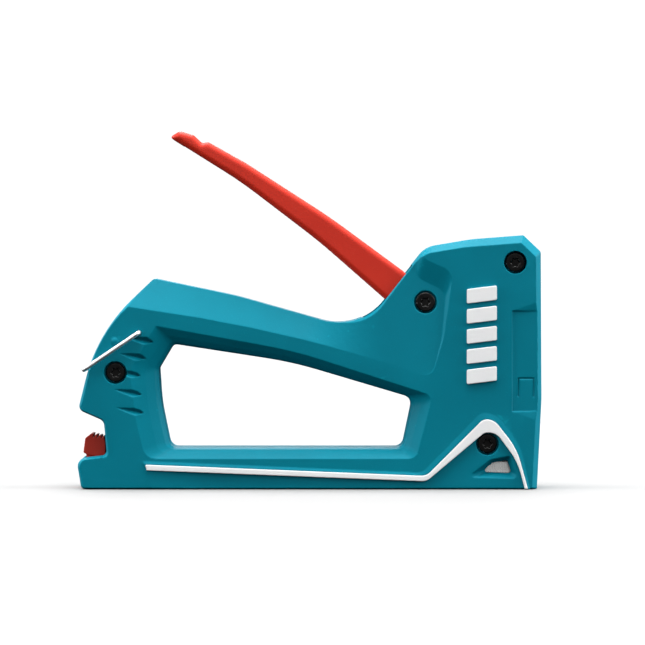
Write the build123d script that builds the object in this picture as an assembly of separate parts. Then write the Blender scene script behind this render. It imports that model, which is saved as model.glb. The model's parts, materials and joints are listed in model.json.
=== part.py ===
from build123d import *
from math import cos, radians, sin, tan
import os

# Hand staple gun. Millimetres, +Z up, +X towards the nose.
# The origin is on the sole at mid-length and mid-width.
# Both shells are drawn in the side view (X, Z) and built outwards from the mid-plane along -Y.

# Overall
BODY_LENGTH = 165.5
BODY_WIDTH = 26.4
BODY_HEIGHT = 90.3
SIDE_WALL = 2.5
SHELL_GAP = 0.05
EDGE_DEPTH = 2.7

# Clearances
FIT = 0.1
RUN = 0.3
PIN_CLEARANCE = 0.05
LEVER_SIDE_GAP = 0.5

# Handle
HANDLE_GRIP_WIDTH = 16.0
HANDLE_BORE_WIDTH = 9.0
PIVOT_SIDE_TILT = 2.6
HEAD_STEP_DEPTH = 2.2

# Housing screws
SCREW_HEAD_RADIUS = 3.5
SCREW_HEAD_HEIGHT = 1.7
SCREW_RADIUS = 1.7
COUNTERBORE_RADIUS = 4.05
SCREW_FLOOR = 3.0
BOSS_WALL = 1.9
PIVOT_BOSS_WALL = 1.1

# Lever and its mechanism
LEVER_TRAVEL = 29.5
GRIP_WALL = 1.6
GRIP_ROUNDING = 2.0
ARM_SHEET = 1.2
SLEEVE_WALL = 1.6
TINE_REACH = 27.3
TINE_DROP = 1.5
EAR_RADIUS = 1.3
CAGE_WALL = 1.0
MAIN_SPRING_RADIUS = 5.7
MAIN_SPRING_WIRE = 1.5
MAIN_SPRING_TURNS = 9
RETURN_SPRING_WIRE = 1.2
RETURN_SPRING_TURNS = 6

# Magazine and staples
STAPLE_WIDTH = 11.4
STAPLE_HEIGHT = 8.0
STAPLE_WIRE = 0.7
STRIP_LENGTH = 60.0
SOLE_GAP = 1.4
CHANNEL_SHEET = 0.8
BLADE_THICKNESS = 0.9
FRONT_PLATE_SHEET = 1.1
FRONT_WALL = 3.6
ROD_RADIUS = 1.2
PUSHER_LENGTH = 4.6
PUSHER_SPRING_WIRE = 0.6
PUSHER_SPRING_TURNS = 24

# Trim, badge and bail
RIB_HEIGHT = 0.6
STRIPE_PROUD = 0.2
STRIPE_SEAT = 0.6
LOWER_RECESS = 0.5
PANEL_DEPTH = 0.6
MARK_DEPTH = 0.4
BADGE_THICKNESS = 1.0
BADGE_BARS = 5
BAIL_WIRE_RADIUS = 0.8
BAIL_REACH = 23.5
BAIL_REST_ANGLE = 34.0
BAIL_SIDE_GAP = 0.8
NUB_HEIGHT = 0.6

HALF = BODY_WIDTH / 2
CAVITY = HALF - SIDE_WALL
LEVER_HALF = CAVITY - LEVER_SIDE_GAP
GRIP_INNER = LEVER_HALF - GRIP_WALL
ARM_OUTER = GRIP_INNER - FIT
ARM_INNER = ARM_OUTER - ARM_SHEET
CAGE_OUTER = ARM_INNER - RUN
CAGE_INNER = CAGE_OUTER - CAGE_WALL
COUNTERBORE_FLOOR = HALF - SCREW_FLOOR
BOSS_FACE = ARM_OUTER + RUN
SLEEVE_BORE = SCREW_RADIUS + PIN_CLEARANCE
SLEEVE_RADIUS = SLEEVE_BORE + SLEEVE_WALL

CHANNEL_INNER = STAPLE_WIDTH / 2 + RUN
CHANNEL_OUTER = CHANNEL_INNER + CHANNEL_SHEET
TUNNEL = CHANNEL_OUTER + FIT
STAPLE_TOP = SOLE_GAP + STAPLE_HEIGHT
CHANNEL_TOP = STAPLE_TOP + RUN + CHANNEL_SHEET
TUNNEL_TOP = CHANNEL_TOP + FIT
RAIL_HALF = STAPLE_WIDTH / 2 - STAPLE_WIRE - 0.2
RAIL_TOP = STAPLE_TOP - STAPLE_WIRE - FIT
RAIL_BOTTOM = SOLE_GAP + 0.2
ROD_Z = (RAIL_TOP - CHANNEL_SHEET + RAIL_BOTTOM) / 2
PUSHER_SPRING_RADIUS = ROD_Z - RAIL_BOTTOM - 0.4


def nose(distance):
    """X of a station a distance behind the nose."""
    return BODY_LENGTH / 2 - distance


def tail(distance):
    """X of a station a distance ahead of the tail."""
    return distance - BODY_LENGTH / 2


def below_top(distance):
    """Z of a station a distance below the top of the head."""
    return BODY_HEIGHT - distance


PIVOT_X, PIVOT_Z = nose(41.35), below_top(23.8)
BAIL_X, BAIL_Z = tail(22.45), 55.7
TOP_SCREW = (nose(9.45), below_top(9.7))
PIVOT_SCREW = (PIVOT_X, PIVOT_Z)
LOWER_SCREW = (nose(19.35), 16.2)
REAR_SCREW = (tail(14.1), 41.5)
SCREWS = [TOP_SCREW, PIVOT_SCREW, LOWER_SCREW, REAR_SCREW]

PLATE_FRONT = nose(FRONT_WALL)
PLATE_BACK = PLATE_FRONT - FRONT_PLATE_SHEET
BLADE_FRONT = PLATE_BACK - 0.2
BLADE_BACK = BLADE_FRONT - BLADE_THICKNESS
MAGAZINE_FRONT = BLADE_BACK - 0.2
MAGAZINE_REAR = tail(11.2)
SPRING_X = PIVOT_X + TINE_REACH
PLUNGER_Z = PIVOT_Z - 35.0
TINE_ANGLE = LEVER_TRAVEL / 2
EAR_LIFT = (EAR_RADIUS + RUN - TINE_DROP) / cos(radians(TINE_ANGLE))
EAR_Z = PIVOT_Z - TINE_REACH * tan(radians(TINE_ANGLE)) + EAR_LIFT
LIFT = 2 * TINE_REACH * tan(radians(TINE_ANGLE))
CAGE_TOP = EAR_Z + EAR_RADIUS + 0.6
SPRING_SEAT = PLUNGER_Z + 2.0
CAP_TOP = CAGE_TOP + LIFT + 0.6
CAP_BOTTOM = CAP_TOP - 2.3

# Outlines in the side view: each corner is (x, z, corner radius).
BODY_OUTLINE = [
    (tail(1.8), 0, 1.5),
    (nose(1.6), 0, 0.6),
    (nose(0), 32, 20),
    (nose(0.3), below_top(5.9), 1.5),
    (nose(6.5), below_top(0), 1.0),
    (nose(24.8), below_top(1.4), 40),
    (nose(40.9), below_top(4.1), 9),
    (nose(64.5), below_top(34.0), 21),
    (tail(56.8), 68.8, 120),
    (tail(27.5), 74.9, 1.6),
    (tail(7.3), 55.2, 60),
    (tail(0.7), 28.2, 2.4),
    (tail(9.8), 24.2, 2.6),
    (tail(10.9), 12.1, 1.8),
    (tail(0), 10.8, 3.2),
]
# How far the side face stops short of each edge of the outline, in the same order.
EDGE_INSETS = [0.5, 1.9, 1.9, 2.6, 2.7, 2.4, 0.9, 0.8, 0.8, 0.8, 0.8, 0.6, 0.6, 0.6, 0.8]

OPENING_INNER = [
    (tail(33.3), 14.6, 3.2),
    (nose(49.4), 14.6, 3.2),
    (nose(45.7), 32.3, 3.6),
    (nose(88.8), 45.1, 140),
    (tail(34.4), 51.6, 2.6),
    (tail(29.2), 42.8, 1.6),
    (tail(30.0), 30.5, 60),
]
OPENING_RIM = [
    (tail(24.6), 10.9, 5.0),
    (nose(44.6), 10.9, 3.6),
    (nose(38.8), 33.3, 3.0),
    (nose(88.0), 49.2, 160),
    (tail(28.4), 58.1, 0.5),
    (tail(19.1), 42.0, 12),
    (tail(21.2), 25.0, 50),
]

RIB_TOP_EDGE = [
    (tail(24.7), 8.8, 0.3),
    (nose(41.0), 4.8, 4.5),
    (nose(20.5), 25.3, 3.4),
    (nose(16.6), 24.2, 5),
    (nose(9.0), 14.6, 25),
    (nose(5.0), 0.2, 0),
]
STRIPE_LOW_EDGE = [
    (nose(6.1), 0.2, 0),
    (nose(8.6), 9.9, 25),
    (nose(16.3), 20.2, 5),
    (nose(20.5), 20.2, 3.0),
    (nose(41.0), 2.9, 4.5),
    (tail(25.2), 6.8, 0.3),
]
RIB_BASE_EDGE = [
    (tail(23.4), 10.1, 0.3),
    (nose(42.6), 5.9, 5),
    (nose(21.5), 27.6, 4.0),
    (nose(15.6), 26.4, 6),
    (nose(7.4), 15.4, 25),
    (nose(4.2), 0.0, 0),
]

WINDOW_MOUTH = [
    (nose(26.4), 4.3, 0.8),
    (nose(8.6), 3.8, 1.2),
    (nose(11.0), 12.1, 1.0),
    (nose(18.4), 10.6, 4),
]
WINDOW_THROAT = [
    (nose(21.4), 6.0, 0.8),
    (nose(10.6), 5.6, 0.8),
    (nose(12.2), 10.4, 0.8),
    (nose(17.5), 9.3, 2),
]

HEAD_CAVITY = [
    (nose(FRONT_WALL), 25.0, 0),
    (nose(FRONT_WALL), below_top(7.6), 0),
    (nose(7.5), below_top(3.4), 0),
    (nose(24.8), below_top(4.6), 0),
    (nose(38.2), below_top(7.2), 0),
    (nose(45.6), below_top(11.2), 0),
    (nose(52), below_top(4), 0),
    (nose(68), below_top(22), 0),
    (nose(64.2), below_top(29.3), 0),
    (nose(53), below_top(32.3), 0),
    (nose(48), below_top(36.5), 0),
    (nose(32), below_top(40.5), 0),
    (nose(29), 25.0, 0),
]

# Lever outline, as offsets from its pivot.
GRIP_OUTLINE = [
    (-90.9, 58.6, 0.7),
    (-87.4, 60.9, 2.2),
    (-82.4, 59.4, 1.5),
    (-79.4, 56.6, 0.8),
    (-77.2, 57.0, 0.8),
    (-63.5, 49.3, 40),
    (-34.0, 30.3, 200),
    (-5.6, 9.4, 0.6),
    (-9.4, 0.5, 1.0),
    (-14.0, 0.6, 1.5),
    (-37.7, 21.4, 200),
    (-66.0, 43.0, 150),
]
GRIP_HOLLOW = [
    (-86.0, 57.2, 0.8),
    (-80.5, 55.6, 1.0),
    (-64.0, 47.1, 40),
    (-34.5, 27.9, 200),
    (-11.0, 10.6, 0),
    (0.0, 10.6, 0),
    (0.0, -6.0, 0),
    (-14.0, -6.0, 0),
    (-37.7, 17.0, 0),
    (-66.0, 38.0, 0),
    (-86.5, 52.0, 0),
]
ARM_OUTLINE = [
    (-52.0, 38.9, 1.0),
    (-34.6, 27.6, 200),
    (-8.0, 8.1, 6),
    (4.5, 5.5, 4),
    (5.5, -9.0, 4),
    (-6.0, -6.0, 4),
    (-15.5, 3.6, 6),
    (-37.0, 22.3, 200),
    (-54.0, 35.6, 1.0),
]


def profile(corners, offset=0.0):
    """Face in the side view with rounded corners, at a distance from the mid-plane."""
    points = [(x, z) for x, z, _ in corners]
    radii = [radius for _, _, radius in corners]
    line = FilletPolyline(*points, radius=radii, close=True)
    return Plane.XZ.offset(offset) * make_face(line.edges())


def slab(corners, inner, outer):
    """Straight prism of a side-view outline between two distances from the mid-plane."""
    return extrude(profile(corners, inner), outer - inner, dir=(0, -1, 0))


def centred_slab(corners, half):
    """Prism of a side-view outline, as wide on both sides of the mid-plane."""
    return slab(corners, -half, half)


def taper(inner_corners, outer_corners, inner, outer):
    """Solid whose outline changes from one set of corners to the other."""
    return loft([profile(inner_corners, inner), profile(outer_corners, outer)], ruled=True)


def between(first, second, share):
    """Corners a share of the way from the first outline to the second."""
    return [
        tuple(a + (b - a) * share for a, b in zip(one, other))
        for one, other in zip(first, second)
    ]


def inset(corners, distances):
    """Corners moved inwards, each edge of a counter-clockwise outline by its own distance."""
    lines = []
    for (x, z, _), (next_x, next_z, _), distance in zip(corners, corners[1:] + corners[:1], distances):
        along = Vector(next_x - x, next_z - z).normalized()
        inwards = Vector(-along.Y, along.X)
        lines.append((Vector(x, z) + inwards * distance, along))
    moved = []
    for (start, along), (other, across), (_, _, radius) in zip(lines[-1:] + lines[:-1], lines, corners):
        gap = other - start
        share = (gap.X * across.Y - gap.Y * across.X) / (along.X * across.Y - along.Y * across.X)
        point = start + along * share
        moved.append((point.X, point.Y, max(radius * 0.8, 0.3)))
    return moved


def box(x, y, z):
    """Box between two values on each axis."""
    size = [high - low for low, high in (x, y, z)]
    middle = [(high + low) / 2 for low, high in (x, y, z)]
    return Pos(*middle) * Box(*size)


def even_box(x, half, z):
    """Box as wide on both sides of the mid-plane."""
    return box(x, (-half, half), z)


def cross_rod(centre, radius, inner, outer):
    """Cylinder along Y on the near side, between two distances from the mid-plane."""
    face = Pos(centre[0], centre[1]) * Circle(radius)
    return extrude(Plane.XZ.offset(inner) * face, outer - inner, dir=(0, -1, 0))


def mirrored(solid):
    return mirror(solid, about=Plane.XZ)


def both_sides(solid):
    return solid + mirrored(solid)


# ---------------------------------------------------------------- shells


def shell_block():
    """Outer body of one half, with the edges of its side face drawn in."""
    side_face = inset(BODY_OUTLINE, EDGE_INSETS)
    core = slab(BODY_OUTLINE, SHELL_GAP, HALF - EDGE_DEPTH)
    return core + taper(BODY_OUTLINE, side_face, HALF - EDGE_DEPTH, HALF)


def handle_opening():
    """Through opening for the fingers, its mouth rounded out towards the side face."""
    start = HANDLE_GRIP_WIDTH / 2
    depth = HALF - start
    cut = slab(OPENING_INNER, -1, start + 0.01)
    steps = [(0, 0), (0.3, 0.14), (0.62, 0.48), (1, 1)]
    for (near, share), (far, next_share) in zip(steps, steps[1:]):
        cut += taper(
            between(OPENING_INNER, OPENING_RIM, share),
            between(OPENING_INNER, OPENING_RIM, next_share),
            start + depth * near,
            start + depth * far,
        )
    return cut + slab(OPENING_RIM, HALF, HALF + 2)


def facet_section(x, z, tilt):
    """Section across the handle of the wedge taken off above the facet's lower line."""
    lean = tan(radians(tilt))
    lip = 0.5
    rise = 45
    points = [
        (x, -HALF - lip, z - lip),
        (x, -HALF, z),
        (x, -HALF + rise * lean, z + rise),
        (x, -HALF - 30, z + rise),
        (x, -HALF - 30, z - lip),
    ]
    return make_face(Polyline(*points, close=True).edges())


def handle_facet():
    """Slope on top of the handle, twisting to near upright beside the pivot."""
    full = 30.5
    flat = PIVOT_SIDE_TILT
    stations = [
        (tail(4), 67.5, full),
        (tail(20), 64.7, full),
        (tail(44), 61.0, full),
        ((tail(44) + nose(86)) / 2, 57.6, full),
        (nose(86), 53.6, full),
        (nose(79), 51.8, 26),
        (nose(72), 49.9, 16),
        (nose(65), 47.9, 7),
        (nose(56), 45.2, flat),
        (nose(46), 41.8, flat),
        (nose(22), 33.2, flat),
    ]
    sections = [facet_section(*station) for station in stations]
    straight = loft(sections[:5], ruled=True)
    twist = loft(sections[4:9])
    upright = loft(sections[8:], ruled=True)
    wedge = straight + twist + upright
    top = BODY_HEIGHT + 20
    face_line = [
        (tail(-10), top, 0),
        (tail(-10), 20, 0),
        (nose(60), 20, 0),
        (nose(44.5), 39.5, 4),
        (nose(38.2), 39.5, 3.5),
        (nose(34.0), 54, 30),
        (nose(29.8), below_top(8.5), 5),
        (nose(40.5), below_top(4.0), 3),
        (nose(42.5), top, 0),
    ]
    deep_line = [
        (tail(-10), top, 0),
        (tail(-10), 20, 0),
        (nose(60), 20, 0),
        (nose(46.5), 43.5, 4),
        (nose(40.2), 43.5, 3.5),
        (nose(36.6), 54, 30),
        (nose(35.5), below_top(23), 5),
        (nose(45.0), below_top(18), 3),
        (nose(47.5), top, 0),
    ]
    shallow = HALF - HEAD_STEP_DEPTH
    handle_side = [(tail(-10), top, 0), (tail(-10), 20, 0), (nose(62), 20, 0), (nose(62), top, 0)]
    reach = taper(deep_line, face_line, shallow, HALF + 1.0) + slab(handle_side, 0, shallow)
    return wedge & reach


def raised_rib():
    """Rib with a sloped upper flank, which carries the white stripe."""
    base = RIB_BASE_EDGE + STRIPE_LOW_EDGE
    top = RIB_TOP_EDGE + STRIPE_LOW_EDGE
    return taper(base, top, HALF, HALF + RIB_HEIGHT) + slab(base, HALF - 1, HALF)


def lower_recess():
    """Step in the side face below the stripe, down to the sole."""
    floor = HALF - LOWER_RECESS
    corners = STRIPE_LOW_EDGE + [(tail(25.2), -1, 0), (nose(6.1), -1, 0)]
    faded = STRIPE_LOW_EDGE[:-1] + [(tail(45), 6.2, 0.3), (tail(45), -1, 0), (nose(6.1), -1, 0)]
    return taper(faded, corners, floor, HALF) + slab(corners, HALF, HALF + 3)


def stripe_outline():
    return RIB_TOP_EDGE + STRIPE_LOW_EDGE


def window():
    """Three-cornered window onto the magazine, with a scooped mouth."""
    mouth = HALF - LOWER_RECESS
    throat = mouth - 2.4
    return (
        taper(WINDOW_THROAT, WINDOW_MOUTH, throat, mouth)
        + slab(WINDOW_MOUTH, mouth, HALF + 2)
        + slab(WINDOW_THROAT, 0, throat)
    )


def label_panel():
    """Shallow recess for a label, ramped at both ends."""
    floor = HALF - PANEL_DEPTH
    low, high = 27.7, 63.5
    left, right = nose(10.7), nose(-1)
    panel = slab([(left, low, 0), (right, low, 0), (right, high, 0), (left, high, 0)], floor, HALF + 2)
    for z, run in ((low, -4.3), (high, 4.0)):
        ends = [(left, z), (right, z), (right, z + run)]
        top = [(x, -HALF - 0.01, height) for x, height in ends]
        deep = (right, -floor, z)
        panel += tetrahedron(*top, deep)
    return panel


def tetrahedron(a, b, c, d):
    faces = [
        Face(Wire.make_polygon([p, q, r], close=True))
        for p, q, r in ((a, b, c), (a, b, d), (b, c, d), (c, a, d))
    ]
    return Solid(Shell(faces))


def staple_mark():
    """Engraved outline of a plain staple on the label panel."""
    floor = HALF - PANEL_DEPTH
    x, z, width, leg, line = nose(5.6), 36.3, 5.4, 6.2, 0.7
    mark = even_bar(x, z + leg / 2, width, line) + even_bar(x - width / 2, z, line, leg + line)
    mark += even_bar(x + width / 2, z, line, leg + line)
    return Pos(0, -(floor - MARK_DEPTH), 0) * mark


def even_bar(x, z, width, height):
    return Pos(x, -1, z) * Box(width, 2, height)


def grip_notch(tip, upper, end, lower):
    """Boat-shaped nick in the side face: a long dark upper slope over a short lower one."""
    depth = 2.2
    heel = ((upper[0] + end[0]) / 2, -(HALF - depth), upper[1] * 0.3 + lower[1] * 0.7)
    surface = -(HALF + 0.3)
    rim = [(point[0], surface, point[1]) for point in (tip, upper, end, lower)]
    return tetrahedron(rim[0], rim[1], rim[3], heel) + tetrahedron(rim[1], rim[2], rim[3], heel)


def grip_notches():
    """Five nicks down the rear post."""
    starts = [(15.8, 54.6), (13.5, 48.7), (11.6, 42.6), (11.9, 35.9), (12.7, 29.4)]
    cut = None
    for distance, z in starts:
        x = tail(distance)
        nick = grip_notch((x, z), (x + 9.3, z - 0.2), (x + 12.8, z - 2.5), (x + 7.6, z - 3.2))
        cut = nick if cut is None else cut + nick
    return cut


def seam_cavity():
    """Hollow inside the head and the handle, on both sides of the mid-plane."""
    head = centred_slab(HEAD_CAVITY, CAVITY)
    tunnel = even_box((tail(-2), MAGAZINE_FRONT + 0.1), TUNNEL, (-2, TUNNEL_TOP))
    knob_slot = even_box((tail(-2), tail(10.8)), TUNNEL, (-2, 14))
    nose_slot = even_box((MAGAZINE_FRONT, PLATE_FRONT), CHANNEL_OUTER + 1.7, (-2, 26))
    handle = [
        (tail(37), 55.2, 2),
        (nose(88.8), 49.2, 60),
        (nose(60), 40.6, 2),
        (nose(66), 53, 2),
        (nose(88), 59.6, 60),
        (tail(31), 70.0, 2),
    ]
    return head + tunnel + knob_slot + nose_slot + centred_slab(handle, HANDLE_BORE_WIDTH / 2)


def cap_shelf():
    """Rib under the roof of the head that the spring cap pushes against."""
    return box((SPRING_X - 5, SPRING_X + 6), (-CAVITY - 0.5, -SHELL_GAP), (CAP_TOP, CAP_TOP + 2))


def screw_boss(centre, inner):
    radius = SCREW_RADIUS + PIN_CLEARANCE + BOSS_WALL
    return cross_rod(centre, radius, inner, CAVITY + 0.5)


def pivot_boss():
    return cross_rod(PIVOT_SCREW, COUNTERBORE_RADIUS + PIVOT_BOSS_WALL, BOSS_FACE, CAVITY + 0.5)


def side_features():
    """One half, without its screw holes."""
    shell = shell_block() + raised_rib()
    shell -= handle_opening()
    shell -= handle_facet()
    shell -= lower_recess()
    shell -= slab(stripe_outline(), HALF - STRIPE_SEAT, HALF + 3)
    shell -= label_panel()
    shell -= staple_mark()
    shell -= grip_notches()
    shell -= window()
    shell -= seam_cavity()
    shell += cap_shelf() + pivot_boss()
    for centre in (TOP_SCREW, LOWER_SCREW, REAR_SCREW):
        shell += screw_boss(centre, SHELL_GAP)
    shell -= cross_rod((BAIL_X, BAIL_Z), BAIL_WIRE_RADIUS + PIN_CLEARANCE, HALF - 5.2, HALF + 1)
    return shell + detent_nub()


def detent_nub():
    """Low dome that the bail snaps behind."""
    spread = 1.45
    radius = (spread**2 + NUB_HEIGHT**2) / (2 * NUB_HEIGHT)
    x, z = tail(13.9), 52.6
    ball = Pos(x, -(HALF + NUB_HEIGHT - radius), z) * Sphere(radius)
    return ball & cross_rod((x, z), spread + 0.2, HALF - 0.4, HALF + 2)


def shell_right():
    """Near shell: counterbores for the screw heads and clearance holes."""
    shell = side_features()
    for centre in SCREWS:
        shell -= cross_rod(centre, COUNTERBORE_RADIUS, COUNTERBORE_FLOOR, HALF + 3)
        shell -= cross_rod(centre, SCREW_RADIUS + PIN_CLEARANCE, -1, HALF)
    return shell


def shell_left():
    """Far shell: blind bosses that the screws bite into."""
    shell = side_features()
    for centre in SCREWS:
        shell -= cross_rod(centre, SCREW_RADIUS + PIN_CLEARANCE, -1, COUNTERBORE_FLOOR)
    return mirrored(shell)


def trim_stripe():
    """White strip pressed into the rib."""
    base = HALF - STRIPE_SEAT
    strip = slab(stripe_outline(), base, HALF + RIB_HEIGHT + STRIPE_PROUD)
    return strip


def badge():
    """Raised slanted bars on the side of the head."""
    width, height, pitch, slant = 10.6, 6.4, 7.15, 1.3
    left, low = nose(26.7), 37.4
    bars = []
    for index in range(BADGE_BARS):
        z = low + pitch * index
        corners = [
            (left, z, 0.5),
            (left + width, z + slant, 0.5),
            (left + width, z + slant + height - 1.3, 0.5),
            (left, z + height - 1.3, 0.5),
        ]
        bars.append(slab(corners, HALF, HALF + BADGE_THICKNESS))
    return Compound(bars)


def housing_screws():
    """Four screws with six-pointed sockets, heads on the near side."""
    screws = []
    for centre in SCREWS:
        top = COUNTERBORE_FLOOR + SCREW_HEAD_HEIGHT
        head = cross_rod(centre, SCREW_HEAD_RADIUS, COUNTERBORE_FLOOR, top)
        head = fillet(head.faces().sort_by(Axis.Y)[0].edges(), 0.5)
        socket = cross_rod(centre, 1.35, top - 1.1, top + 1)
        for lobe in range(6):
            angle = radians(60 * lobe)
            place = (centre[0] + 1.35 * cos(angle), centre[1] + 1.35 * sin(angle))
            socket += cross_rod(place, 0.42, top - 1.1, top + 1)
        shank = cross_rod(centre, SCREW_RADIUS, -(COUNTERBORE_FLOOR - 0.6), COUNTERBORE_FLOOR)
        screws.append((head - socket) + shank)
    return Compound(screws)


# ---------------------------------------------------------------- lever


def at_pivot(corners):
    return [(PIVOT_X + x, PIVOT_Z + z, radius) for x, z, radius in corners]


def lever_grip():
    """Red lever: a channel open underneath, with soft top edges and a nick for the bail."""
    body = centred_slab(at_pivot(GRIP_OUTLINE), LEVER_HALF)
    long_edges = [
        edge
        for edge in body.edges()
        if abs(abs(edge.center().Y) - LEVER_HALF) < 0.01 and is_grip_top(edge.center())
    ]
    body = fillet(long_edges, GRIP_ROUNDING)
    body -= centred_slab(at_pivot(GRIP_HOLLOW), GRIP_INNER)
    clear_boss = centred_rod(PIVOT_SCREW, COUNTERBORE_RADIUS + PIVOT_BOSS_WALL + RUN, LEVER_HALF + 1)
    for pin in grip_pin_places():
        body -= centred_rod(pin, grip_pin_radius() + 0.02, GRIP_INNER + 0.8)
    return body - clear_boss


def is_grip_top(point):
    """True on the upper side of the lever, away from its tip and its nick."""
    along, up = point.X - PIVOT_X, point.Z - PIVOT_Z
    return -100 < along < -7 and up > 4.5 - 0.6 * along


def centred_rod(centre, radius, half):
    return cross_rod(centre, radius, -half, half)


def grip_pin_radius():
    return 1.5


def grip_pin_places():
    return [(PIVOT_X - 44.0, PIVOT_Z + 30.6), (PIVOT_X - 22.0, PIVOT_Z + 13.6)]


def tine_outline():
    """Fork tine, which lifts the plunger by the underside of its ears."""
    tip = TINE_REACH / cos(radians(TINE_ANGLE)) + 2.6
    level = [
        (-2.0, -TINE_DROP, 0),
        (tip, -TINE_DROP, 0.8),
        (tip, -TINE_DROP - 3.4, 1.5),
        (9.0, -TINE_DROP - 7.2, 6),
        (-2.0, -TINE_DROP - 7.2, 0),
    ]
    angle = radians(-TINE_ANGLE)
    return [
        (x * cos(angle) - z * sin(angle), x * sin(angle) + z * cos(angle), radius)
        for x, z, radius in level
    ]


def lever_arm():
    """Steel core: two side plates, a web along the top, and the two tines."""
    plate = slab(at_pivot(ARM_OUTLINE), ARM_INNER, ARM_OUTER)
    plate += slab(at_pivot(tine_outline()), ARM_INNER, ARM_OUTER)
    web_line = [
        (-52.0, 38.9, 0),
        (-34.6, 27.6, 0),
        (-14.0, 12.5, 0),
        (-14.7, 11.5, 0),
        (-35.3, 26.6, 0),
        (-52.7, 37.9, 0),
    ]
    web = slab(at_pivot(web_line), 0, ARM_INNER)
    arm = both_sides(plate + web)
    arm -= centred_rod(PIVOT_SCREW, SLEEVE_RADIUS + PIN_CLEARANCE, HALF)
    for pin in grip_pin_places():
        arm -= centred_rod(pin, grip_pin_radius() + 0.02, HALF)
    return arm


def lever_pins():
    """Cross pins that tie the grip to its steel core."""
    half = GRIP_INNER + 0.7
    return Compound([centred_rod(pin, grip_pin_radius(), half) for pin in grip_pin_places()])


def pivot_sleeve():
    tube = centred_rod(PIVOT_SCREW, SLEEVE_RADIUS, BOSS_FACE - 0.05)
    return tube - centred_rod(PIVOT_SCREW, SLEEVE_BORE, HALF)


def lever_return_spring():
    """Torsion spring round the sleeve, one leg on the lever's web and one on the housing."""
    pitch = RETURN_SPRING_WIRE + 0.25
    height = pitch * RETURN_SPRING_TURNS
    radius = SLEEVE_RADIUS + RUN + RETURN_SPRING_WIRE
    coil = coil_spring(radius, RETURN_SPRING_WIRE / 2, pitch, height)
    coil = Pos(PIVOT_X, height / 2, PIVOT_Z) * Rot(X=90) * coil
    web_leg = leg((PIVOT_X, -height / 2, PIVOT_Z + radius), (-9.0, 0, 1.6))
    floor_leg = leg((PIVOT_X, height / 2, PIVOT_Z - radius), (-9.0, 0, -2.2))
    return coil + web_leg + floor_leg


def leg(start, run):
    wire = RETURN_SPRING_WIRE / 2
    path = Line(start, Vector(*start) + Vector(*run))
    section = Plane(origin=start, z_dir=run) * Circle(wire * 0.98)
    return sweep(section, path)


def coil_spring(radius, wire_radius, pitch, height):
    """Helical spring standing on its own XY plane, one turn for each pitch of its height."""
    path = Helix(pitch=pitch, height=height, radius=radius)
    section = Plane(origin=path @ 0, z_dir=path % 0) * Circle(wire_radius)
    return sweep(section, path, is_frenet=True)


# ---------------------------------------------------------------- striking parts


def plunger():
    """Steel cage round the main spring, with two ears that the tines lift."""
    floor = even_box((SPRING_X - 6.3, BLADE_BACK), CAGE_OUTER, (PLUNGER_Z, SPRING_SEAT))
    front = even_box((BLADE_BACK - 1.3, BLADE_BACK), CAGE_INNER, (PLUNGER_Z, PLUNGER_Z + 16))
    wall = box((SPRING_X - 5.7, SPRING_X + 5.2), (-CAGE_OUTER, -CAGE_INNER), (PLUNGER_Z, CAGE_TOP))
    ear = cross_rod((SPRING_X, EAR_Z), EAR_RADIUS, CAGE_INNER, ARM_OUTER)
    body = floor + front + both_sides(wall + ear)
    return body - blade_rivet_hole()


def blade_rivet_hole():
    return rivet_shape(BLADE_BACK - 5, BLADE_FRONT + 5, 1.6)


def rivet_shape(start, end, radius):
    face = Plane.YZ.offset(start) * Pos(0, PLUNGER_Z + 11) * Circle(radius)
    return extrude(face, end - start, dir=(1, 0, 0))


def driver_blade():
    """Thin blade that pushes the front staple out through the sole."""
    blade = even_box((BLADE_BACK, BLADE_FRONT), STAPLE_WIDTH / 2, (SOLE_GAP, PLUNGER_Z + 15.5))
    return blade - blade_rivet_hole()


def blade_rivet():
    flush = rivet_shape(BLADE_BACK - 1.3, BLADE_FRONT, 1.6)
    return flush + rivet_shape(BLADE_BACK - 2.1, BLADE_BACK - 1.3, 2.4)


def main_spring():
    """Compression spring between the plunger's floor and the cap."""
    wire = MAIN_SPRING_WIRE / 2
    height = CAP_BOTTOM - SPRING_SEAT - 2 * wire - 0.1
    coil = coil_spring(MAIN_SPRING_RADIUS - wire, wire, height / MAIN_SPRING_TURNS, height)
    return Pos(SPRING_X, 0, SPRING_SEAT + wire + 0.05) * coil


def spring_cap():
    """Upper seat of the main spring, with a spigot inside its coils."""
    disc = Pos(SPRING_X, 0, (CAP_TOP + CAP_BOTTOM) / 2) * Cylinder(MAIN_SPRING_RADIUS, CAP_TOP - CAP_BOTTOM)
    spigot = Pos(SPRING_X, 0, CAP_BOTTOM - 1.5) * Cylinder(MAIN_SPRING_RADIUS - MAIN_SPRING_WIRE - RUN, 3)
    return disc + spigot


def buffer():
    """Rubber block that stops the plunger."""
    block = even_box((SPRING_X - 6.5, BLADE_BACK - 1.6), CAGE_OUTER, (25.0, PLUNGER_Z - RUN))
    return fillet(block.edges().filter_by(Axis.Z), 1.0)


def front_plate():
    """Steel plate that the blade runs against, with slots at its head."""
    half = CHANNEL_OUTER + 1.5
    plate = even_box((PLATE_BACK, PLATE_FRONT), half, (0.3, PLUNGER_Z + 31))
    for side in (-1, 1):
        plate -= Pos(PLATE_FRONT, side * (half - 2.5), PLUNGER_Z + 26) * Box(4, 2, 4)
    return plate


# ---------------------------------------------------------------- magazine


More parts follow.
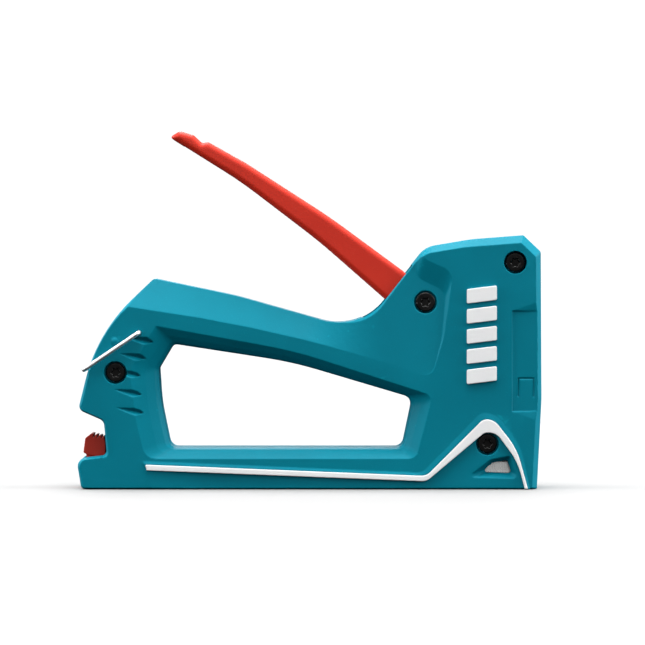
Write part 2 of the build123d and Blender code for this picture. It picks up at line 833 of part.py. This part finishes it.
def magazine_channel():
    """Fixed steel channel, open underneath, over the staples."""
    outer = even_box((MAGAZINE_REAR, MAGAZINE_FRONT), CHANNEL_OUTER, (0.6, CHANNEL_TOP))
    inside = (MAGAZINE_REAR - 1, MAGAZINE_FRONT + 1)
    inner = even_box(inside, CHANNEL_INNER, (-1, CHANNEL_TOP - CHANNEL_SHEET))
    return outer - inner - centred_slab(channel_window(), CHANNEL_OUTER + 1)


def channel_window():
    """Opening in the side walls, a little larger than the throat of the shell's window."""
    return inset(WINDOW_THROAT, [-0.3, -0.3, 0.1, 0.1])


def staple_rail():
    """Sliding steel core that the staples straddle, slotted for the pusher."""
    rear, front = MAGAZINE_REAR - 1.4, MAGAZINE_FRONT
    inner_half = RAIL_HALF - CHANNEL_SHEET
    rail = even_box((rear, front), RAIL_HALF, (RAIL_BOTTOM, RAIL_TOP))
    rail -= even_box((rear - 1, front - 2.0), inner_half, (-1, RAIL_TOP - CHANNEL_SHEET))
    rail -= even_box((rear + 6, front - STRIP_LENGTH), 1.3, (-1, RAIL_TOP + 1))
    rail -= rod_along(ROD_RADIUS + PIN_CLEARANCE, front - 3, front + 1)
    return rail - knob_pin_shape(knob_pin_radius() + 0.02, HALF)


def rod_along(radius, start, end):
    face = Plane.YZ.offset(start) * Pos(0, ROD_Z) * Circle(radius)
    return extrude(face, end - start, dir=(1, 0, 0))


def guide_rod():
    return rod_along(ROD_RADIUS, MAGAZINE_REAR - 5.5, MAGAZINE_FRONT)


def knob_pin_radius():
    return 0.7


def knob_pin_shape(radius, half):
    return centred_rod((MAGAZINE_REAR + 2.2, ROD_Z + ROD_RADIUS + 1.1), radius, half)


def knob_pin():
    return knob_pin_shape(knob_pin_radius(), RAIL_HALF)


def magazine_knob():
    """Red thumb piece behind the rail, ribbed on top."""
    rear, front = tail(2.1), MAGAZINE_REAR - 1.2
    head = [
        (rear + 0.1, 12.6, 0.6),
        (front - 2.0, 11.0, 0.8),
        (front + 0.1, 12.0, 0.6),
        (front + 0.2, 15.6, 0.6),
        (front - 0.3, 18.6, 0.5),
        (rear + 3.0, 19.6, 0.6),
        (rear + 0.8, 17.9, 0.5),
    ]
    knob = centred_slab(head, TUNNEL - 0.6)
    stem = even_box((rear + 1.2, front - 1.2), TUNNEL - 0.9, (SOLE_GAP, 14))
    inside_rail = CHANNEL_SHEET + FIT
    tongue_height = (RAIL_BOTTOM, RAIL_TOP - inside_rail)
    tongue = even_box((rear + 1.2, MAGAZINE_REAR + 5.0), RAIL_HALF - inside_rail, tongue_height)
    knob += stem + tongue
    for index in range(3):
        knob -= rib_groove(rear + 3.2 + 1.5 * index)
    knob -= rod_along(ROD_RADIUS + PIN_CLEARANCE, MAGAZINE_REAR - 5.6, HALF)
    return knob - knob_pin_shape(knob_pin_radius() + 0.02, HALF)


def rib_groove(x):
    groove = [(x, 17.2, 0), (x + 2.3, 20.6, 0), (x + 1.1, 21.0, 0)]
    return centred_slab(groove, TUNNEL)


def staple_strip():
    """Bonded strip of staples standing astride the rail."""
    half = STAPLE_WIDTH / 2
    ends = (MAGAZINE_FRONT - STRIP_LENGTH, MAGAZINE_FRONT - 0.1)
    outer = even_box(ends, half, (SOLE_GAP, STAPLE_TOP))
    inner = even_box((ends[0] - 1, ends[1] + 1), half - STAPLE_WIRE, (-1, STAPLE_TOP - STAPLE_WIRE))
    return outer - inner


def pusher_ends():
    front = MAGAZINE_FRONT - STRIP_LENGTH - 0.1
    return front - PUSHER_LENGTH, front


def pusher():
    """Saddle over the rail, guided by the rod through the rail's slot."""
    ends = pusher_ends()
    half = STAPLE_WIDTH / 2 - FIT
    saddle = even_box(ends, half, (SOLE_GAP + 0.6, STAPLE_TOP))
    saddle -= even_box((ends[0] - 1, ends[1] + 1), RAIL_HALF + FIT, (-1, RAIL_TOP + FIT))
    neck = even_box(ends, 1.0, (ROD_Z, RAIL_TOP + 0.4))
    ring = even_box(ends, PUSHER_SPRING_RADIUS, (RAIL_BOTTOM + 0.3, ROD_Z + PUSHER_SPRING_RADIUS))
    return saddle + neck + ring - rod_along(ROD_RADIUS + PIN_CLEARANCE, ends[0] - 1, ends[1] + 1)


def pusher_spring():
    """Long light spring on the guide rod, behind the pusher."""
    wire = PUSHER_SPRING_WIRE / 2
    start, end = MAGAZINE_REAR + 5.0 + wire + FIT, pusher_ends()[0] - wire - FIT
    length = end - start
    coil = coil_spring(PUSHER_SPRING_RADIUS - wire, wire, length / PUSHER_SPRING_TURNS, length)
    return Pos(start, 0, ROD_Z) * Rot(Y=90) * coil


# ---------------------------------------------------------------- bail


def bail():
    """Wire bail: its ends turn in the shells, its crossbar holds the closed lever down."""
    side = HALF + BAIL_SIDE_GAP + BAIL_WIRE_RADIUS
    end = HALF - 4.8
    angle = radians(BAIL_REST_ANGLE)
    far_x, far_z = BAIL_X - BAIL_REACH * cos(angle), BAIL_Z - BAIL_REACH * sin(angle)
    path = FilletPolyline(
        (BAIL_X, -end, BAIL_Z),
        (BAIL_X, -side, BAIL_Z),
        (far_x, -side, far_z),
        (far_x, side, far_z),
        (BAIL_X, side, BAIL_Z),
        (BAIL_X, end, BAIL_Z),
        radius=1.3,
    )
    section = Plane(origin=path @ 0, z_dir=path % 0) * Circle(BAIL_WIRE_RADIUS)
    return sweep(section, path)


PARTS = {
    "shell_right": shell_right,
    "shell_left": shell_left,
    "trim_stripe_right": trim_stripe,
    "trim_stripe_left": lambda: mirrored(trim_stripe()),
    "badge_right": badge,
    "badge_left": lambda: mirrored(badge()),
    "housing_screws": housing_screws,
    "lever_grip": lever_grip,
    "lever_arm": lever_arm,
    "lever_pins": lever_pins,
    "pivot_sleeve": pivot_sleeve,
    "lever_return_spring": lever_return_spring,
    "plunger": plunger,
    "driver_blade": driver_blade,
    "blade_rivet": blade_rivet,
    "main_spring": main_spring,
    "spring_cap": spring_cap,
    "buffer": buffer,
    "front_plate": front_plate,
    "magazine_channel": magazine_channel,
    "staple_rail": staple_rail,
    "guide_rod": guide_rod,
    "knob_pin": knob_pin,
    "magazine_knob": magazine_knob,
    "staple_strip": staple_strip,
    "pusher": pusher,
    "pusher_spring": pusher_spring,
    "bail": bail,
}

os.makedirs("parts", exist_ok=True)
for node, make in PARTS.items():
    export_step(make(), f"parts/{node}.step")
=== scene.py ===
import json
from math import cos, radians, sin

import bmesh
import bpy
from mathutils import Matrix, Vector

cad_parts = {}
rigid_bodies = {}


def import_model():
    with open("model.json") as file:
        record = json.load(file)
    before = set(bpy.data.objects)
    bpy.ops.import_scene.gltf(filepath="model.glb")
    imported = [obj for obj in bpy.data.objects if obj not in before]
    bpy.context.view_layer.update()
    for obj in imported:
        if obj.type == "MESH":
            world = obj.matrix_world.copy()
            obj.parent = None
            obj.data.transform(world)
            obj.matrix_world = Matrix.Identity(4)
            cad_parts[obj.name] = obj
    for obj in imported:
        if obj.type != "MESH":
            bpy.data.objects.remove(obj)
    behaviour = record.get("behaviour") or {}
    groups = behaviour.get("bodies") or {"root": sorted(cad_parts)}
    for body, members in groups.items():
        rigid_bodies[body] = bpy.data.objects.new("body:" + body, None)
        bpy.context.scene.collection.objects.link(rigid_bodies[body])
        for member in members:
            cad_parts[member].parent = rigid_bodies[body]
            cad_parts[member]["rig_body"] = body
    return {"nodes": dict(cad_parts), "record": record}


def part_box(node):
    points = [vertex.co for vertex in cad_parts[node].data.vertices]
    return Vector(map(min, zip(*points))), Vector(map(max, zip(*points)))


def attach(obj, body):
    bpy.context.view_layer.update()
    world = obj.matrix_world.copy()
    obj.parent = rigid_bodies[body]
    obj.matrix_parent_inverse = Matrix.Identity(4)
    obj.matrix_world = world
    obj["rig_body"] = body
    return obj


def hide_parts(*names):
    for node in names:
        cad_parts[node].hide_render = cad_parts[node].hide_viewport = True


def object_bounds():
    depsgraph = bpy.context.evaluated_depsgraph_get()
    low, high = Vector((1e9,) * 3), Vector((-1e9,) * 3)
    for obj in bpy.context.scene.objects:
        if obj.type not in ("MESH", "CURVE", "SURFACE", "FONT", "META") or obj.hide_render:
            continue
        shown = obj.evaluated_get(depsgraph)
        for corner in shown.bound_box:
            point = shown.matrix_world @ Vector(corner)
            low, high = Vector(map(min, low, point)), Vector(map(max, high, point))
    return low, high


MM = 0.001

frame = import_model()
cad_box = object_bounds()
nodes = frame["nodes"]
SLOTS = {part["node"]: part["material_slot"] for part in frame["record"]["subparts"]}


# ------------------------------------------------------------------ node graphs


class Graph:
    """Short calls for building the node tree of one material."""

    def __init__(self, name):
        self.material = bpy.data.materials.new(name)
        self.material.use_nodes = True
        self.tree = self.material.node_tree
        self.tree.nodes.clear()
        self.output = self.add("ShaderNodeOutputMaterial")
        self.shader = self.add("ShaderNodeBsdfPrincipled")
        self.link(self.shader.outputs["BSDF"], self.output.inputs["Surface"])
        self.place = self.add("ShaderNodeTexCoord").outputs["Object"]

    def add(self, kind, **settings):
        node = self.tree.nodes.new(kind)
        for key, value in settings.items():
            setattr(node, key, value)
        return node

    def link(self, source, target):
        self.tree.links.new(source, target)

    def stretched(self, scale):
        """Object coordinates scaled by a different amount on each axis."""
        node = self.add("ShaderNodeMapping")
        node.inputs["Scale"].default_value = scale
        self.link(self.place, node.inputs["Vector"])
        return node.outputs["Vector"]

    def noise(self, size, detail=2.0, place=None):
        """Noise with features about this many metres across."""
        node = self.add("ShaderNodeTexNoise")
        node.inputs["Scale"].default_value = 1.0 / size
        node.inputs["Detail"].default_value = detail
        self.link(place or self.place, node.inputs["Vector"])
        return node.outputs["Fac"]

    def ramp(self, source, low, high, start=0.0, end=1.0):
        """Value remapped from low..high to start..end, clamped."""
        node = self.add("ShaderNodeMapRange")
        node.inputs["From Min"].default_value = low
        node.inputs["From Max"].default_value = high
        node.inputs["To Min"].default_value = start
        node.inputs["To Max"].default_value = end
        self.link(source, node.inputs["Value"])
        return node.outputs["Result"]

    def mix(self, share, first, second):
        """Colour between two colours or sockets."""
        node = self.add("ShaderNodeMix", data_type="RGBA")
        self.link(share, node.inputs["Factor"])
        for socket, value in (("A", first), ("B", second)):
            target = [s for s in node.inputs if s.name == socket and s.type == "RGBA"][0]
            if isinstance(value, tuple):
                target.default_value = (*value, 1.0)
            else:
                self.link(value, target)
        return [s for s in node.outputs if s.type == "RGBA"][0]

    def bump(self, height, strength, depth, under=None):
        """Surface normal raised by a height, on top of another normal if one is given."""
        node = self.add("ShaderNodeBump")
        node.inputs["Strength"].default_value = strength
        node.inputs["Distance"].default_value = depth
        self.link(height, node.inputs["Height"])
        if under:
            self.link(under, node.inputs["Normal"])
        return node.outputs["Normal"]

    def creases(self, low, high, most):
        """0 where the pointiness is at low, rising to most where it is at high."""
        pointiness = self.add("ShaderNodeNewGeometry").outputs["Pointiness"]
        return self.ramp(pointiness, low, high, 0.0, most)

    def set(self, name, value):
        self.shader.inputs[name].default_value = value

    def to(self, name, source):
        self.link(source, self.shader.inputs[name])


# ------------------------------------------------------------------ finishes

MOTTLE = 22 * MM  # patches of slightly different shade in plastic
FLOW = 5 * MM  # shallow waves of a moulded face
FLOW_DEPTH = 0.06 * MM
GRAIN_DEPTH = 0.035 * MM
RUBBED = 0.45  # share of the pale colour along outer edges
PAINTED_SHADE_SHARE = 0.7  # share of the painted shade colour in inner corners
PAINTED_SHADE_TONE = 0.3  # painted shade colour for inner corners, as a part of the deep colour

CLOUD = 6 * MM  # patches of slightly different shade in metal
LINE_DEPTH = 0.02 * MM

# Pointiness of a flat face is 0.5. Outer edges are above it and inner corners below.
PLASTIC_EDGE = (0.545, 0.68)
PLASTIC_CORNER = (0.485, 0.44)
METAL_EDGE = (0.51, 0.60)

# Lines per metre along X, Y and Z.
LINES_X = (60.0, 2600.0, 2600.0)
LINES_Z = (2600.0, 2600.0, 60.0)
LINES_NONE = (1500.0, 1500.0, 1500.0)


def moulded_plastic(name, colour, pale, deep, rough, grain=0.45 * MM, gloss=0.14):
    """Moulded plastic: fine grain, faint mottling, paler rubbed edges, painted shade in inner
    corners.
    """
    g = Graph(name)
    mottle = g.noise(MOTTLE, 3.0)
    speckle = g.noise(grain, 3.0)
    body = g.mix(g.ramp(mottle, 0.3, 0.7), deep, colour)
    body = g.mix(g.ramp(speckle, 0.62, 0.85, 0.0, 0.35), body, pale)
    body = g.mix(g.creases(*PLASTIC_EDGE, RUBBED), body, pale)
    # Inner corners are darkened with painted shade.
    corner = tuple(value * PAINTED_SHADE_TONE for value in deep)
    body = g.mix(g.creases(*PLASTIC_CORNER, PAINTED_SHADE_SHARE), body, corner)
    g.to("Base Color", body)
    g.to("Roughness", g.ramp(speckle, 0.3, 0.7, rough - 0.06, rough + 0.08))
    waves = g.bump(g.noise(FLOW, 2.0), 0.25, FLOW_DEPTH)
    g.to("Normal", g.bump(speckle, 0.5, GRAIN_DEPTH, waves))
    g.set("Specular IOR Level", gloss)
    return g.material


def metal(name, colour, dark, rough, along, wear_and_highlight=0.3, wear_and_highlight_colour=None):
    """Rolled, drawn or plated metal with fine lines along one axis and brighter edges, partly
    wear and partly a painted highlight.
    """
    g = Graph(name)
    lines = g.noise(1.0, 3.0, g.stretched(along))
    cloud = g.noise(CLOUD, 3.0)
    body = g.mix(g.ramp(cloud, 0.3, 0.7), dark, colour)
    body = g.mix(g.ramp(lines, 0.55, 0.8, 0.0, 0.3), body, dark)
    # Outer edges are brightened: partly wear, partly a painted highlight.
    lighter = wear_and_highlight_colour or tuple(min(1.0, value * 1.5 + 0.05) for value in colour)
    body = g.mix(g.creases(*METAL_EDGE, wear_and_highlight), body, lighter)
    g.to("Base Color", body)
    g.to("Roughness", g.ramp(lines, 0.3, 0.7, rough - 0.08, rough + 0.12))
    g.to("Normal", g.bump(lines, 0.25, LINE_DEPTH))
    g.set("Metallic", 1.0)
    return g.material


FINISHES = {
    "shell": moulded_plastic(
        "shell_turquoise", (0.0, 0.185, 0.258), (0.004, 0.330, 0.420), (0.0, 0.165, 0.232), 0.46,
        gloss=0.07,
    ),
    "stripe": moulded_plastic(
        "trim_white", (0.88, 0.89, 0.89), (0.94, 0.94, 0.94), (0.83, 0.84, 0.85), 0.38,
        grain=0.3 * MM,
    ),
    "lever_red": moulded_plastic(
        "lever_red", (0.590, 0.026, 0.010), (0.680, 0.130, 0.090), (0.530, 0.021, 0.008), 0.44,
        grain=0.5 * MM, gloss=0.24,
    ),
    "knob_red": moulded_plastic(
        "knob_red", (0.420, 0.028, 0.016), (0.600, 0.110, 0.080), (0.350, 0.022, 0.012), 0.44,
        grain=0.35 * MM,
    ),
    # The screw's pale edge colour is a painted highlight on the rim of the head and the socket.
    "screw": metal(
        "screw_black", (0.016, 0.016, 0.016), (0.008, 0.008, 0.008), 0.30, LINES_NONE,
        wear_and_highlight=1.0, wear_and_highlight_colour=(0.30, 0.30, 0.30),
    ),
    "steel": metal("steel_sheet", (0.46, 0.47, 0.48), (0.30, 0.31, 0.32), 0.34, LINES_X),
    "zinc_steel": metal("steel_zinc", (0.56, 0.58, 0.60), (0.42, 0.44, 0.47), 0.30, LINES_NONE),
    "spring_steel": metal("spring_steel", (0.34, 0.34, 0.35), (0.20, 0.20, 0.21), 0.32, LINES_X),
    "staple_steel": metal("staple_steel", (0.62, 0.62, 0.61), (0.46, 0.46, 0.46), 0.26, LINES_Z),
    "bail_wire": metal("bail_wire", (0.90, 0.90, 0.91), (0.80, 0.81, 0.82), 0.42, LINES_X),
    "nylon_black": moulded_plastic(
        "nylon_black", (0.020, 0.020, 0.021), (0.060, 0.060, 0.062), (0.012, 0.012, 0.013), 0.5
    ),
    "rubber": moulded_plastic(
        "rubber_buffer", (0.030, 0.029, 0.028), (0.055, 0.054, 0.052), (0.020, 0.020, 0.019), 0.75
    ),
}


# ------------------------------------------------------------------ pieces

WELD_GAP = 0.001 * MM


def linked_object(name, data):
    made = bpy.data.objects.new(name, data)
    bpy.context.scene.collection.objects.link(made)
    return made


def evaluated(made):
    """Mesh of an object with its modifiers applied."""
    made_now = made.evaluated_get(bpy.context.evaluated_depsgraph_get())
    return bpy.data.meshes.new_from_object(made_now)


def softened(node, voxel, rounds, face_limit=0):
    """Replaces a CAD node by a dense closed mesh of the same shape whose edges are eased."""
    rough = linked_object("draft_" + node, nodes[node].data.copy())
    weld = rough.modifiers.new("weld", "WELD")
    weld.merge_threshold = WELD_GAP
    grid = rough.modifiers.new("grid", "REMESH")
    grid.mode = "VOXEL"
    grid.voxel_size = voxel * 1.0
    ease = rough.modifiers.new("ease", "SMOOTH")
    ease.factor = 0.5
    ease.iterations = rounds
    mesh = evaluated(rough)
    triangles = sum(len(face.vertices) - 2 for face in mesh.polygons)
    if face_limit and triangles > face_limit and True:
        thin = rough.modifiers.new("thin", "DECIMATE")
        thin.ratio = face_limit / triangles
        level = rough.modifiers.new("level", "WEIGHTED_NORMAL")
        level.mode = "FACE_AREA_WITH_ANGLE"
        mesh = evaluated(rough)
    bpy.data.objects.remove(rough)
    mesh.polygons.foreach_set("use_smooth", [True] * len(mesh.polygons))
    piece = linked_object(node + "_moulded", mesh)
    mesh.materials.clear()
    mesh.materials.append(FINISHES[SLOTS[node]])
    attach(piece, nodes[node]["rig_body"])
    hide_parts(node)


# Voxel size, rounds of smoothing and, for the shells, the most triangles.
SOFTENED = {
    "shell_right": (0.22 * MM, 1, 190000),
    "shell_left": (0.22 * MM, 1, 190000),
    "trim_stripe_right": (0.16 * MM, 2),
    "trim_stripe_left": (0.16 * MM, 2),
    "badge_right": (0.14 * MM, 3),
    "badge_left": (0.14 * MM, 3),
    "lever_grip": (0.30 * MM, 2),
    "magazine_knob": (0.18 * MM, 3),
    "housing_screws": (0.12 * MM, 1),
    "bail": (0.10 * MM, 2),
}

for node, settings in SOFTENED.items():
    softened(node, *settings)

for node, cad_object in nodes.items():
    if node not in SOFTENED:
        cad_object.data.materials.clear()
        cad_object.data.materials.append(FINISHES[SLOTS[node]])


# ------------------------------------------------------------------ studio

VIEW_WIDTH = 228.7 * MM
VIEW_RISE = radians(1.0)
LENS = 200.0
SENSOR = 36.0
NEAR_CLIP = 0.01
FAR_CLIP = 50.0
AIM_AHEAD = 4.6 * MM
AIM_HEIGHT = 59.3 * MM

FLOOR_SIZE = 12.0
FLOOR_CELLS = 8
FLOOR_DROP = 0.05 * MM
FLOOR_GRAIN = 3 * MM
FLOOR_TONE = (0.27, 0.27, 0.27)
FLOOR_FLECK = 0.99

SKY_RISE = (-0.05, 0.6)  # heights that the studio's light grows between
SKY_LIGHT = (0.01, 0.6)
BACKDROP = 1.05

# Strength, spread, and tilts about X and Y in degrees from straight down.
SUNS = {
    "top_light": (6.6, 50.0, 0.0, 0.0),
    "left_light": (3.8, 50.0, 0.0, -70.0),
    "right_light": (4.6, 50.0, 0.0, 70.0),
    "back_light": (2.0, 40.0, -50.0, 0.0),
    "front_light": (1.0, 60.0, 62.0, 0.0),
}


def floor():
    """Plain pale floor, which the object's own faces don't pick light up from."""
    mesh = bpy.data.meshes.new("floor")
    surface = bmesh.new()
    bmesh.ops.create_grid(
        surface, x_segments=FLOOR_CELLS, y_segments=FLOOR_CELLS, size=FLOOR_SIZE
    )
    surface.to_mesh(mesh)
    surface.free()
    made = linked_object("floor", mesh)
    made.location.z = cad_box[0][2] - FLOOR_DROP
    g = Graph("floor_paper")
    fleck = tuple(value * FLOOR_FLECK for value in FLOOR_TONE)
    g.to("Base Color", g.mix(g.noise(FLOOR_GRAIN, 2.0), fleck, FLOOR_TONE))
    g.set("Roughness", 0.9)
    g.set("Specular IOR Level", 0.0)
    mesh.materials.append(g.material)
    made.visible_diffuse = False
    made.visible_glossy = False


def sun(name, strength, spread, tilt_x, tilt_y):
    """Soft studio light from one direction."""
    data = bpy.data.lights.new(name, "SUN")
    data.energy = strength
    data.angle = radians(spread)
    made = linked_object(name, data)
    made.rotation_euler = (radians(tilt_x), radians(tilt_y), 0.0)


def surroundings():
    """White studio: bright above, falling to dark below, plain white behind the object."""
    world = bpy.data.worlds.new("studio")
    bpy.context.scene.world = world
    world.use_nodes = True
    tree = world.node_tree
    tree.nodes.clear()
    output = tree.nodes.new("ShaderNodeOutputWorld")
    light = tree.nodes.new("ShaderNodeBackground")
    seen = tree.nodes.new("ShaderNodeBackground")
    both = tree.nodes.new("ShaderNodeMixShader")
    path = tree.nodes.new("ShaderNodeLightPath")
    place = tree.nodes.new("ShaderNodeTexCoord")
    split = tree.nodes.new("ShaderNodeSeparateXYZ")
    rise = tree.nodes.new("ShaderNodeMapRange")
    for end, height, strength in zip(("Min", "Max"), SKY_RISE, SKY_LIGHT):
        rise.inputs["From " + end].default_value = height
        rise.inputs["To " + end].default_value = strength
    seen.inputs["Color"].default_value = (1.0, 1.0, 1.0, 1.0)
    seen.inputs["Strength"].default_value = BACKDROP
    link = tree.links.new
    link(place.outputs["Generated"], split.inputs["Vector"])
    link(split.outputs["Z"], rise.inputs["Value"])
    link(rise.outputs["Result"], light.inputs["Strength"])
    link(path.outputs["Is Camera Ray"], both.inputs["Fac"])
    link(light.outputs["Background"], both.inputs[1])
    link(seen.outputs["Background"], both.inputs[2])
    link(both.outputs["Shader"], output.inputs["Surface"])


def camera():
    """Side view from slightly above, aimed at the near face of the right shell."""
    data = bpy.data.cameras.new("camera")
    data.lens = LENS
    data.sensor_width = SENSOR
    data.clip_start = NEAR_CLIP
    data.clip_end = FAR_CLIP
    made = linked_object("camera", data)
    low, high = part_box("shell_right")
    aim = Vector(((low.x + high.x) / 2 + AIM_AHEAD, low.y, low.z + AIM_HEIGHT))
    distance = VIEW_WIDTH * LENS / SENSOR
    made.location = aim + distance * Vector((0.0, -cos(VIEW_RISE), sin(VIEW_RISE)))
    made.rotation_euler = (radians(90.0) - VIEW_RISE, 0.0, 0.0)
    bpy.context.scene.camera = made


floor()
surroundings()
for name, settings in SUNS.items():
    sun(name, *settings)
camera()
bpy.context.scene.view_settings.view_transform = "Standard"
bpy.context.scene.view_settings.look = "None"
